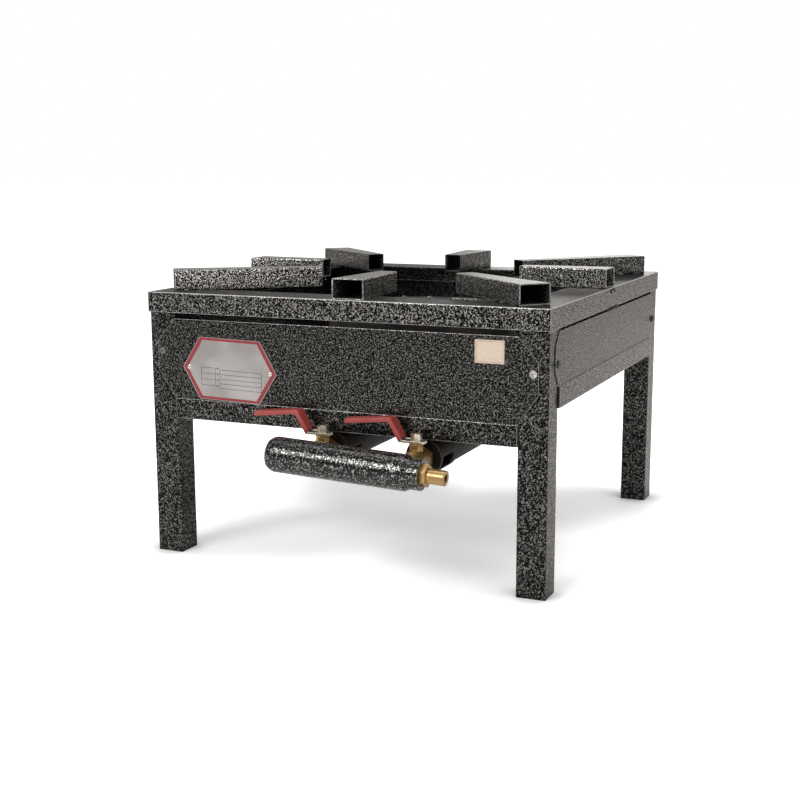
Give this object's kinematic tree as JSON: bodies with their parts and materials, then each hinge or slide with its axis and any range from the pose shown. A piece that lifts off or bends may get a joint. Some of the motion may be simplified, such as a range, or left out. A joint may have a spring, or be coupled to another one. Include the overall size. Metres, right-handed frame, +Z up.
{
  "type": "double burner gas stove",
  "caption": "Low floor-standing gas stove: square hammer-painted frame on legs, welded pot bars over ring and centre burners, front gas manifold with lever ball valves.",
  "frame": {"origin": "on the floor, under the middle of the whole stove's outline, manifold included", "axes": "+X to the right as the cook faces the valves, +Y to the back, +Z up"},
  "size_m": [0.5042, 0.5816, 0.3425],
  "materials": {
    "hammered_paint": "black and silver hammered paint, glossy",
    "black_paint": "plain black paint, satin",
    "burner_iron": "raw sand-cast iron",
    "brass": "machined brass",
    "ball_chrome": "polished",
    "seat_plastic": "white sealing plastic",
    "red_vinyl": "dipped soft vinyl",
    "zinc_steel": "zinc plated",
    "plate_aluminium": "plain sheet with a painted border"
  },
  "bodies": {
    "stove": {"air_bell_left": "black_paint", "air_bell_right": "black_paint", "burner_bar_back": "black_paint", "burner_bar_front": "black_paint", "gland_nuts": "brass", "injectors": "brass", "inlet_nipple": "brass", "inner_burner": "burner_iron", "inner_burner_cap": "burner_iron", "leg_back_left": "hammered_paint", "leg_back_right": "hammered_paint", "leg_front_left": "hammered_paint", "leg_front_right": "hammered_paint", "lower_rail_back": "hammered_paint", "lower_rail_front": "hammered_paint", "lower_rail_left": "hammered_paint", "lower_rail_right": "hammered_paint", "manifold_end_cap": "hammered_paint", "manifold_pipe": "hammered_paint", "manifold_socket": "hammered_paint", "mixing_tube_left": "black_paint", "mixing_tube_right": "black_paint", "name_plate": "plate_aluminium", "name_plate_rivets": "plate_aluminium", "outer_burner": "burner_iron", "outer_burner_lid": "burner_iron", "panel_back": "hammered_paint", "panel_front": "hammered_paint", "panel_left": "hammered_paint", "panel_right": "hammered_paint", "panel_screws": "zinc_steel", "pot_bar_back": "hammered_paint", "pot_bar_back_left": "hammered_paint", "pot_bar_back_right": "hammered_paint", "pot_bar_front": "hammered_paint", "pot_bar_front_left": "hammered_paint", "pot_bar_front_right": "hammered_paint", "pot_bar_left": "hammered_paint", "pot_bar_right": "hammered_paint", "top_rail_back": "hammered_paint", "top_rail_front": "hammered_paint", "top_rail_left": "hammered_paint", "top_rail_right": "hammered_paint", "valve_body_left": "brass", "valve_body_right": "brass", "valve_end_pieces": "brass", "valve_seats": "seat_plastic"},
    "valve_left": {"ball_left": "ball_chrome", "stem_left": "zinc_steel", "lever_left": "zinc_steel", "lever_grip_left": "red_vinyl", "lever_nut_left": "zinc_steel"},
    "valve_right": {"ball_right": "ball_chrome", "stem_right": "zinc_steel", "lever_right": "zinc_steel", "lever_grip_right": "red_vinyl", "lever_nut_right": "zinc_steel"}
  },
  "joints": [
    {"name": "valve_left_turn", "type": "hinge", "parent": "stove", "child": "valve_left", "pos_m": [-0.011, -0.2263, 0.1468], "axis": [0, 0, 1], "range_deg": [0, 90]},
    {"name": "valve_right_turn", "type": "hinge", "parent": "stove", "child": "valve_right", "pos_m": [0.104, -0.2263, 0.1468], "axis": [0, 0, 1], "range_deg": [0, 90]}
  ]
}
